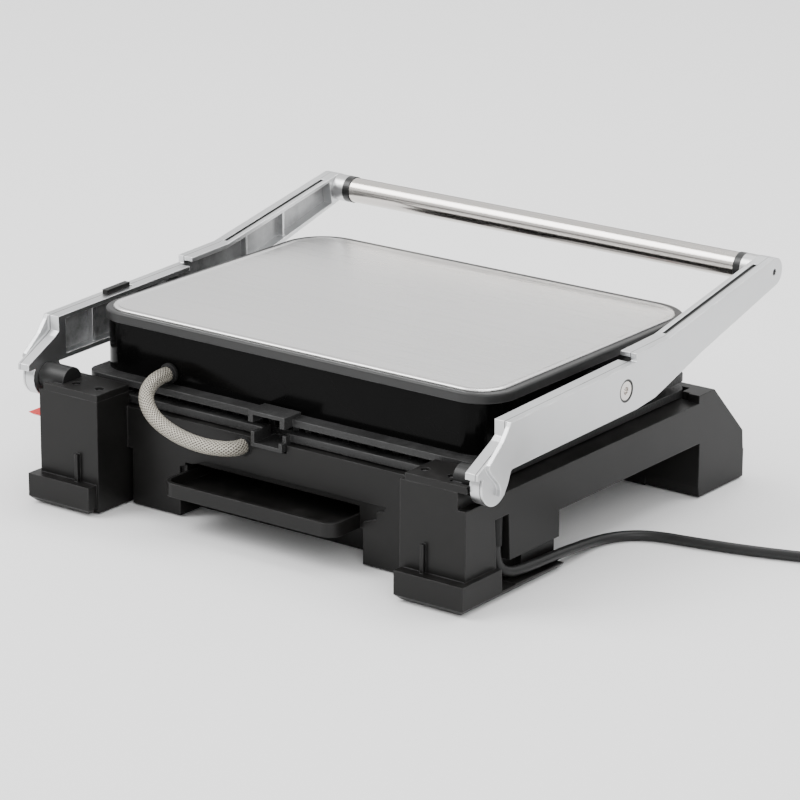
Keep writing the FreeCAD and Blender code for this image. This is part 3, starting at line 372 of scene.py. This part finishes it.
materials = {}
for name, values in mouldedFinishes.items():
    materials[name] = makeMoulded(name, {**mouldedCommon, **values})
for name, values in metalFinishes.items():
    materials[name] = makeMetal(name, {**metalCommon, **values})


def paintOver(material, mask, colour):
    # lays a plain colour over what already feeds the material's base colour
    tree = material.node_tree
    base = tree.nodes["Principled BSDF"].inputs["Base Color"]
    link(tree, mixColour(tree, mask, base.links[0].from_socket, colour), base)


def within(tree, source, span):
    inside = addNode(tree, "ShaderNodeMath", {"operation": "COMPARE"},
                     {1: (span[0] + span[1]) / 2, 2: (span[1] - span[0]) / 2})
    link(tree, source, inside.inputs[0])
    return inside.outputs[0]


# painted shade: a dark colour in each arm's hollow, in the groove along its top and round its pivot, where
# shade falls, found by place in metres
armPaintedShade = {"colour": grey(0.018), "metalLost": 0.9, "hollowX": (0.1750, 0.1757), "fadeY": (-0.055, 0.0),
            "fade": (0.55, 0.96), "blotchScale": 70.0, "blotch": (0.55, 1.0), "grooveX": (0.1715, 0.1749),
            "grooveY": (-0.1462, -0.0398), "grooveTop": 0.12468, "topAtY": -0.04, "grooveSlope": -0.19,
            "grooveDepth": (0.0006, 0.0024), "pivot": (0.0112, 0.1018), "pivotShadowRing": (0.0061, 0.0073),
            "ringX": 0.1765}


# painted shade in the arm's hollow, fading along the arm and broken into blotches
def hollowShadeMask(tree, place, across, along, values):
    mottle = addNode(tree, "ShaderNodeTexNoise", None,
                     {"Scale": values["blotchScale"], "Detail": 5.0, "Roughness": 0.65})
    link(tree, place, mottle.inputs["Vector"])
    blotch = rangeOf(tree, mottle.outputs["Fac"], *values["blotch"])
    faded = calculate(tree, "MULTIPLY", within(tree, across, values["hollowX"]),
                      mapRange(tree, along, values["fadeY"], values["fade"]))
    return calculate(tree, "MULTIPLY", faded, blotch)


# painted shade on the floor of the groove along the arm's top
def grooveShadeMask(tree, across, along, height, values):
    # the arm's top is a straight slope here, and the groove's floor lies below it
    levelAtZero = values["grooveTop"] - values["grooveSlope"] * values["topAtY"]
    topLine = calculate(tree, "ADD", calculate(tree, "MULTIPLY", along, values["grooveSlope"]), levelAtZero)
    sunk = within(tree, calculate(tree, "SUBTRACT", topLine, height), values["grooveDepth"])
    strip = calculate(tree, "MULTIPLY", within(tree, across, values["grooveX"]),
                      within(tree, along, values["grooveY"]))
    return calculate(tree, "MULTIPLY", sunk, strip)


# painted shadow in the clearance ring round the arm's pivot
def pivotRingShadeMask(tree, across, along, height, values):
    pivotY, pivotZ = values["pivot"]
    squareY = calculate(tree, "POWER", calculate(tree, "SUBTRACT", along, pivotY), 2.0)
    squareZ = calculate(tree, "POWER", calculate(tree, "SUBTRACT", height, pivotZ), 2.0)
    distance = calculate(tree, "SQRT", calculate(tree, "ADD", squareY, squareZ))
    return calculate(tree, "MULTIPLY", within(tree, distance, values["pivotShadowRing"]),
                     calculate(tree, "GREATER_THAN", across, values["ringX"]))


def paintArmShade(material, values):
    tree = material.node_tree
    place = objectPlace(tree)
    sideways, along, height = splitAxes(tree, place)
    across = calculate(tree, "ABSOLUTE", sideways)
    hollowShade = hollowShadeMask(tree, place, across, along, values)
    grooveShade = grooveShadeMask(tree, across, along, height, values)
    ring = pivotRingShadeMask(tree, across, along, height, values)
    # the painted shade of hollow, groove and pivot ring together
    mask = calculate(tree, "MAXIMUM", calculate(tree, "MAXIMUM", hollowShade, grooveShade), ring)
    paintOver(material, mask, values["colour"])
    # the metal loses its shine under the painted shade
    bare = calculate(tree, "SUBTRACT", 1.0, calculate(tree, "MULTIPLY", mask, values["metalLost"]))
    link(tree, bare, tree.nodes["Principled BSDF"].inputs["Metallic"])


paintArmShade(materials["armMetal"], armPaintedShade)

# collars of the handle: black against the tube, bright where they seat on the arms
collarPaint = {"brightFrom": 0.1592, "bright": grey(0.62)}


def paintCollars(material, values):
    tree = material.node_tree
    across = calculate(tree, "ABSOLUTE", splitAxes(tree, objectPlace(tree))[0])
    mask = calculate(tree, "GREATER_THAN", across, values["brightFrom"])
    paintOver(material, mask, values["bright"])
    link(tree, mask, tree.nodes["Principled BSDF"].inputs["Metallic"])


paintCollars(materials["collarFinish"], collarPaint)

# red translucent lenses of the two lamps
lensLook = {"dark": (0.5, 0.02, 0.01), "light": (0.65, 0.05, 0.02), "rough": (0.1, 0.18), "clear": 0.5,
            "refraction": 1.49, "fine": 500.0, "broad": 200.0}


def makeLens(values):
    material, tree, shader = startMaterial("lampLens", {"Transmission Weight": values["clear"],
                                                        "IOR": values["refraction"]})
    grain = placeGroup(tree, surfaceGrain, {"Fine": values["fine"], "Broad": values["broad"]})
    tone = grain.outputs["Variation"]
    link(tree, mixColour(tree, tone, values["dark"], values["light"]), shader.inputs["Base Color"])
    link(tree, rangeOf(tree, tone, *values["rough"]), shader.inputs["Roughness"])
    return material


materials["lampLens"] = makeLens(lensLook)

# braided glass and metal sleeve of the heater lead, with a soft tint laid over the wires
sleeveLook = {"gap": (0.07, 0.06, 0.045), "wire": (0.52, 0.49, 0.42), "tint": (0.30, 0.28, 0.25),
              "tintMost": 0.25, "rough": (0.55, 0.38), "metallic": (0.1, 0.55), "fine": 1800.0,
              "broad": 60.0, "specular": 0.5, "strength": 0.9, "depth": 0.0005}


def makeSleeve(values):
    material, tree, shader = startMaterial("wovenSleeve", {"Specular IOR Level": values["specular"]})
    braid = placeGroup(tree, braidedSleeve)
    grain = placeGroup(tree, surfaceGrain, {"Fine": values["fine"], "Broad": values["broad"]})
    woven = mixColour(tree, braid.outputs["Tone"], values["gap"], values["wire"])
    tinting = rangeOf(tree, grain.outputs["Variation"], 0.0, values["tintMost"])
    link(tree, mixColour(tree, tinting, woven, values["tint"]), shader.inputs["Base Color"])
    link(tree, rangeOf(tree, braid.outputs["Tone"], *values["rough"]), shader.inputs["Roughness"])
    link(tree, rangeOf(tree, braid.outputs["Tone"], *values["metallic"]), shader.inputs["Metallic"])
    addBump(tree, shader, braid.outputs["Height"], values)
    return material


materials["wovenSleeve"] = makeSleeve(sleeveLook)

piecesOf = {
    "blackMoulding": ["base_housing", "base_bottom_cover", "rear_leg_caps", "drip_tray", "temperature_dial",
                      "float_lock_slider"],
    "collarFinish": ["handle_collars"],
    "blackOxide": ["handle_screws"],
    "glossBlack": ["lid_housing"],
    "darkRim": ["lid_rim"],
    "blackRubber": ["rubber_feet", "lead_grommet", "cord_strain_relief", "lid_lead_gland"],
    "cordSkin": ["plug_body"],
    "plateCoat": ["lower_plate", "upper_plate"],
    "bracketPaint": ["hinge_brackets", "lid_pivot_bushes"],
    "redPlastic": ["hinge_release_lever"],
    "ceramic": ["thermostat", "terminal_block", "base_thermal_cutout", "lid_thermal_cutout"],
    "coverSteel": ["lid_top_cover"],
    "panelSteel": ["control_panel"],
    "armMetal": ["right_arm", "left_arm"],
    "handleSteel": ["handle_tube", "lid_pivot_screws"],
    "platedSteel": ["base_cover_screws", "leg_cap_screws", "hinge_pins", "lower_plate_screws",
                    "upper_plate_screws", "lever_pin", "lever_spring", "dial_shaft"],
    "brightSheet": ["lower_heat_reflector", "upper_heat_reflector"],
    "heaterSheath": ["lower_heating_element", "upper_heating_element"],
    "brassPin": ["plug_pins"],
    "lampLens": ["indicator_lenses"],
}
for finish, names in piecesOf.items():
    for name in names:
        for slot in nodes[name].material_slots:
            slot.material = materials[finish]
print("materials ready")

splineLook = {"resolution": 16, "order": 3, "roundness": 6}


def makeSpline(name, points, radius, roundness=splineLook["roundness"]):
    curve = bpy.data.curves.new(name, "CURVE")
    curve.dimensions = "3D"
    curve.resolution_u = splineLook["resolution"]
    spline = curve.splines.new("NURBS")
    spline.points.add(len(points) - 1)
    for slot, point in zip(spline.points, points):
        slot.co = (*(part * mm for part in point), 1.0)
    spline.order_u = splineLook["order"]
    spline.use_endpoint_u = True
    curve.bevel_depth = radius
    curve.bevel_resolution = roundness
    piece = bpy.data.objects.new(name, curve)
    bpy.context.scene.collection.objects.link(piece)
    return piece


def makePiece(name, shape, material):
    mesh = bpy.data.meshes.new(name)
    shape.to_mesh(mesh)
    shape.free()
    mesh.materials.append(material)
    piece = bpy.data.objects.new(name, mesh)
    bpy.context.scene.collection.objects.link(piece)
    return piece


# mains cord: down from the strain relief, along the floor, into a coil of two layers and up to the plug
mainsCord = {
    "diameter": 6.6, "restZ": 3.4, "coilMid": (-338.0, -90.0), "outerR": 43.0, "innerR": 25.4,
    "floorTurns": 2.5, "upperPitch": 6.7, "upperTurns": 1.875, "pointsPerTurn": 16,
    "climbTurns": 0.25, "liftTurns": 0.34, "lift": 7.5,
    "leaving": [(-162.3, 122, 31), (-162.3, 122, 19.5), (-165.3, 114, 11.6), (-167.4, 97, 10.6),
                (-168.2, 66, 10), (-166.3, 36, 6.8), (-165.2, 14, 3.9)],
    "onFloor": [(-172.3, -2.6), (-187, -13.4), (-214, -18.4), (-249, -26.6), (-281, -37.4), (-312, -47)],
    "toPlug": [(-356.5, -122.3, 19.6), (-345.5, -124.0, 21.6), (-336.0, -119.5, 23.0),
               (-330.6, -111.5, 23.4), (-330.0, -102.0, 23.4)],
}


def cordCoil(values):
    # wound inwards on the floor, then outwards on top, with the last of it lifting towards the plug
    z = values["restZ"]
    midX, midY = values["coilMid"]
    step = 2 * math.pi / values["pointsPerTurn"]
    floorCount = int(values["floorTurns"] * values["pointsPerTurn"])
    upperCount = int(values["upperTurns"] * values["pointsPerTurn"])
    coil = []
    for i in range(floorCount + upperCount + 1):
        angle = math.pi / 2 + i * step
        if i <= floorCount:
            radius = values["outerR"] + (values["innerR"] - values["outerR"]) * i / floorCount
            height = z
        else:
            turned = (i - floorCount) / values["pointsPerTurn"]
            lifting = (turned - values["upperTurns"] + values["liftTurns"]) / values["liftTurns"]
            radius = values["innerR"] + values["upperPitch"] * turned
            height = z + values["diameter"] * min(1.0, turned / values["climbTurns"])
            height += values["lift"] * max(0.0, lifting)
        coil.append((midX + radius * math.cos(angle), midY + radius * math.sin(angle), height))
    return coil


def cordRoute(values):
    onFloor = [(x, y, values["restZ"]) for x, y in values["onFloor"]]
    return values["leaving"] + onFloor + cordCoil(values) + values["toPlug"]


cordPiece = makeSpline("mainsCord", cordRoute(mainsCord), mainsCord["diameter"] * mm / 2)
cordPiece.data.materials.append(materials["cordSkin"])
cordPiece.data.use_fill_caps = True
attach(cordPiece, "base")
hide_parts("mains_cord", "cord_coil")
print("mains cord ready")

# heater lead: a braided sleeve from the lid's gland to the base's grommet, in two lengths that meet halfway
heaterLead = {"diameter": 9.6, "sides": 24, "route": [
    (91.6, 118.7, 86.7), (91.6, 127, 86.7), (91.2, 135.5, 83.9), (88.8, 142.8, 79.1), (82, 148.4, 73.8),
    (72, 151.9, 68.7), (60.3, 153.2, 64.6), (48.2, 152.8, 61.5), (37.5, 150.6, 59.5), (29, 146.6, 58.3),
    (23, 142, 57.8), (20.5, 137.2, 57.5), (20.5, 132.2, 57.5)]}


def routeLine(points):
    # the smooth line of a route, read from its spline
    guide = makeSpline("guide", points, 0.0, 0)
    bpy.context.view_layer.update()
    mesh = bpy.data.meshes.new_from_object(guide.evaluated_get(bpy.context.evaluated_depsgraph_get()))
    line = [vertex.co.copy() for vertex in mesh.vertices]
    bpy.data.meshes.remove(mesh)
    bpy.data.objects.remove(guide)
    return line


def extrudeRing(shape, ring):
    # the next ring of a sleeve, with its vertices in the order of the last one
    edges = [edge for edge in shape.edges if all(vertex in ring for vertex in edge.verts)]
    grown = bmesh.ops.extrude_edge_only(shape, edges=edges)["geom"]
    partners = {}
    for vertex in grown:
        if isinstance(vertex, bmesh.types.BMVert):
            neighbours = [edge.other_vert(vertex) for edge in vertex.link_edges]
            source = next(neighbour for neighbour in neighbours if neighbour in ring)
            partners[source] = vertex
    return [partners[vertex] for vertex in ring]


def wrapSleeve(shape, uvLayer, order, sides):
    # the UV map goes once round the sleeve, and along it in metres
    for face in shape.faces:
        indexes = [order[loop.vert][0] for loop in face.loops]
        crossesSeam = max(indexes) - min(indexes) > 1
        for loop in face.loops:
            index, along = order[loop.vert]
            turn = index + sides if crossesSeam and index == 0 else index
            loop[uvLayer].uv = (turn / sides, along)


def capSleeve(shape, rings):
    for ring in rings:
        cap = shape.faces.new(ring)
        for edge in cap.edges:
            edge.smooth = False
    bmesh.ops.recalc_face_normals(shape, faces=shape.faces)
    for face in shape.faces:
        face.smooth = len(face.verts) == 4


def sweepSleeve(name, line, radius, sides, startLength):
    # one ring turned along the line and extruded from point to point
    shape = bmesh.new()
    uvLayer = shape.loops.layers.uv.new("UVMap")
    firstRing = bmesh.ops.create_circle(shape, segments=sides, radius=radius)["verts"]
    ring = firstRing
    across = (line[1] - line[0]).cross(Vector((0, 0, 1))).normalized()
    order = {}
    length = startLength
    for step, point in enumerate(line):
        ahead = line[min(step + 1, len(line) - 1)]
        behind = line[max(step - 1, 0)]
        tangent = (ahead - behind).normalized()
        across = (across - tangent * across.dot(tangent)).normalized()
        side = tangent.cross(across)
        if step > 0:
            ring = extrudeRing(shape, ring)
            length += (point - behind).length
        for index, vertex in enumerate(ring):
            angle = 2 * math.pi * index / sides
            vertex.co = point + radius * (math.cos(angle) * across + math.sin(angle) * side)
            order[vertex] = (index, length)
    wrapSleeve(shape, uvLayer, order, sides)
    capSleeve(shape, (firstRing, ring))
    return makePiece(name, shape, materials["wovenSleeve"]), length


def makeHeaterLead(values):
    line = routeLine(values["route"])
    middle = len(line) // 2
    radius = values["diameter"] * mm / 2
    upper, reached = sweepSleeve("heaterLeadUpper", line[:middle + 1], radius, values["sides"], 0.0)
    lower, total = sweepSleeve("heaterLeadLower", line[middle:], radius, values["sides"], reached)
    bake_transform(upper)
    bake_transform(lower)
    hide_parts("lid_lead")
    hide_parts("lid_lead")
    print("heater lead ready, length", round(total, 4))


makeHeaterLead(heaterLead)

# steel cover of the lid: a shallow pressed sheet with a rolled edge, a shallow dip inside its border, and a
# front that falls away between the two fall lines
steelCover = {"rearCorner": 20.0, "frontCorner": 27.0, "cornerSteps": 12, "roll": 1.0, "rollSteps": 4,
              "borderIn": 2.2, "dipWidth": 0.5, "dip": 0.25, "fallFrom": -70.0, "fallTo": -98.0, "fall": 1.1,
              "fallWidth": 10.0, "fallSteps": 5, "fallCurve": 1.25}
closeEnough = 1e-5  # metres


def coverBlank(low, high, values):
    # a flat plate with round corners, as thick as the cover is deep
    shape = bmesh.new()
    corners = [shape.verts.new((x, y, low.z)) for x, y in
               ((low.x, low.y), (high.x, low.y), (high.x, high.y), (low.x, high.y))]
    shape.faces.new(corners)
    for wanted, radius in ((low.y, values["frontCorner"]), (high.y, values["rearCorner"])):
        chosen = [vertex for vertex in corners
                  if vertex.is_valid and abs(vertex.co.y - wanted) < closeEnough]
        bmesh.ops.bevel(shape, geom=chosen, offset=radius * mm, affect="VERTICES",
                        segments=values["cornerSteps"], profile=0.5, offset_type="OFFSET", material=-1)
    top = bmesh.ops.extrude_face_region(shape, geom=list(shape.faces))["geom"]
    lifted = [item for item in top if isinstance(item, bmesh.types.BMVert)]
    bmesh.ops.translate(shape, verts=lifted, vec=(0, 0, high.z - low.z))
    bmesh.ops.recalc_face_normals(shape, faces=shape.faces)
    return shape


def topFace(shape):
    # the largest face that looks up
    return max((face for face in shape.faces if face.normal.z > 0.99), key=lambda face: face.calc_area())


def clampShare(share):
    return max(0.0, min(1.0, share))


def dropFront(shape, low, high, values):
    # the front part falls away towards the cover's outline
    flat = topFace(shape)
    innerY = max(-vertex.co.y for vertex in flat.verts)
    innerX = max(vertex.co.x for vertex in flat.verts)
    fallLength = (values["fallFrom"] - values["fallTo"]) * mm
    for vertex in shape.verts:
        if vertex.co.z < low.z + closeEnough:
            continue
        toFront = clampShare((values["fallFrom"] * mm - vertex.co.y) / fallLength)
        outward = clampShare((-vertex.co.y - innerY) / (-low.y - innerY))
        sideward = clampShare((abs(vertex.co.x) - innerX) / (values["fallWidth"] * mm))
        share = (vertex.co.z - low.z) / (high.z - low.z)
        reach = max(outward, sideward) ** values["fallCurve"]
        vertex.co.z -= values["fall"] * mm * toFront * reach * share


def makeCover(values):
    low, high = (Vector(corner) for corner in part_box("lid_top_cover"))
    shape = coverBlank(low, high, values)
    bmesh.ops.bevel(shape, geom=list(topFace(shape).edges), offset=values["roll"] * mm, affect="EDGES",
                    segments=values["rollSteps"], profile=0.5, offset_type="OFFSET", material=-1)
    flat = topFace(shape)
    stages = [(values["borderIn"], 0.0), (values["dipWidth"], -values["dip"]), (values["dipWidth"], 0.0)]
    stages += [(values["fallWidth"] / values["fallSteps"], 0.0)] * values["fallSteps"]
    for width, rise in stages:
        bmesh.ops.inset_region(shape, faces=[flat], thickness=width * mm, depth=rise * mm,
                               use_even_offset=True)
    dropFront(shape, low, high, values)
    for face in shape.faces:
        face.smooth = True
    piece = makePiece("steelCover", shape, materials["coverSteel"])
    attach(piece, "lid")
    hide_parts("lid_top_cover")


makeCover(steelCover)
print("steel cover ready")

# camera, its target in millimetres and its angles in degrees
studio = {"target": (19.69, -29.14, 46.21), "azimuth": 216.417, "elevation": 17.933, "roll": 0.403,
          "distance": 2417.6, "lens": 168.2, "sensor": 36.0, "farthest": 50.0}


def makeCamera(values):
    azimuth = math.radians(values["azimuth"])
    rise = math.radians(values["elevation"])
    roll = math.radians(values["roll"])
    back = Vector((math.sin(azimuth) * math.cos(rise), -math.cos(azimuth) * math.cos(rise), math.sin(rise)))
    right = Vector((0, 0, 1)).cross(back).normalized()
    up = back.cross(right)
    tiltedRight = math.cos(roll) * right + math.sin(roll) * up
    tiltedUp = -math.sin(roll) * right + math.cos(roll) * up
    place = Vector(values["target"]) * mm + back * values["distance"] * mm
    data = bpy.data.cameras.new("camera")
    data.lens = values["lens"]
    data.sensor_width = values["sensor"]
    data.clip_end = values["farthest"]
    camera = bpy.data.objects.new("camera", data)
    turn = Matrix((tiltedRight, tiltedUp, back)).transposed().to_4x4()
    camera.matrix_world = Matrix.Translation(place) @ turn
    bpy.context.scene.collection.objects.link(camera)
    bpy.context.scene.camera = camera


# area lights that all look at one point
lightAim = Vector((0.0, 0.0, 0.05))
lights = {
    "keyLight": {"place": (1.6, 1.2, 2.2), "size": (1.6, 1.6), "power": 70.0},
    "fillLight": {"place": (-1.8, 1.6, 1.3), "size": (1.8, 1.2), "power": 24.0},
    "topLight": {"place": (-0.2, -0.9, 2.4), "size": (2.2, 1.4), "power": 50.0},
}


def makeLight(name, values):
    data = bpy.data.lights.new(name, "AREA")
    data.shape = "RECTANGLE"
    data.size, data.size_y = values["size"]
    data.energy = values["power"]
    lamp = bpy.data.objects.new(name, data)
    lamp.location = values["place"]
    lamp.rotation_euler = (lightAim - Vector(values["place"])).to_track_quat("-Z", "Y").to_euler()
    bpy.context.scene.collection.objects.link(lamp)


# a pale room that darkens towards the horizon, which draws the dark bands on polished metal
paleRoom = {"horizon": 0.06, "clear": 0.25, "lowStrength": 0.12, "highStrength": 1.34}


def makeWorld(values):
    world = bpy.data.worlds.new("paleRoom")
    world.use_nodes = True
    tree = world.node_tree
    backdrop = tree.nodes["Background"]
    backdrop.inputs["Color"].default_value = (1.0, 1.0, 1.0, 1.0)
    place = addNode(tree, "ShaderNodeTexCoord")
    height = splitAxes(tree, place.outputs["Generated"])[2]
    strength = mapRange(tree, height, (values["horizon"], values["clear"]),
                        (values["lowStrength"], values["highStrength"]))
    link(tree, strength, backdrop.inputs["Strength"])
    bpy.context.scene.world = world


paleFloor = {"halfSize": 6.0, "dark": grey(0.86), "light": grey(0.88), "rough": 0.55, "specular": 0.3,
             "fine": 300.0, "broad": 3.0}


def makeFloor(values):
    shape = bmesh.new()
    bmesh.ops.create_grid(shape, x_segments=2, y_segments=2, size=values["halfSize"])
    material, tree, shader = startMaterial("paleFloor", {"Roughness": values["rough"],
                                                         "Specular IOR Level": values["specular"]})
    grain = placeGroup(tree, surfaceGrain, {"Fine": values["fine"], "Broad": values["broad"]})
    tone = mixColour(tree, grain.outputs["Variation"], values["dark"], values["light"])
    link(tree, tone, shader.inputs["Base Color"])
    makePiece("floor", shape, material)


makeCamera(studio)
for name, values in lights.items():
    makeLight(name, values)
makeWorld(paleRoom)
makeFloor(paleFloor)
print("stage ready")
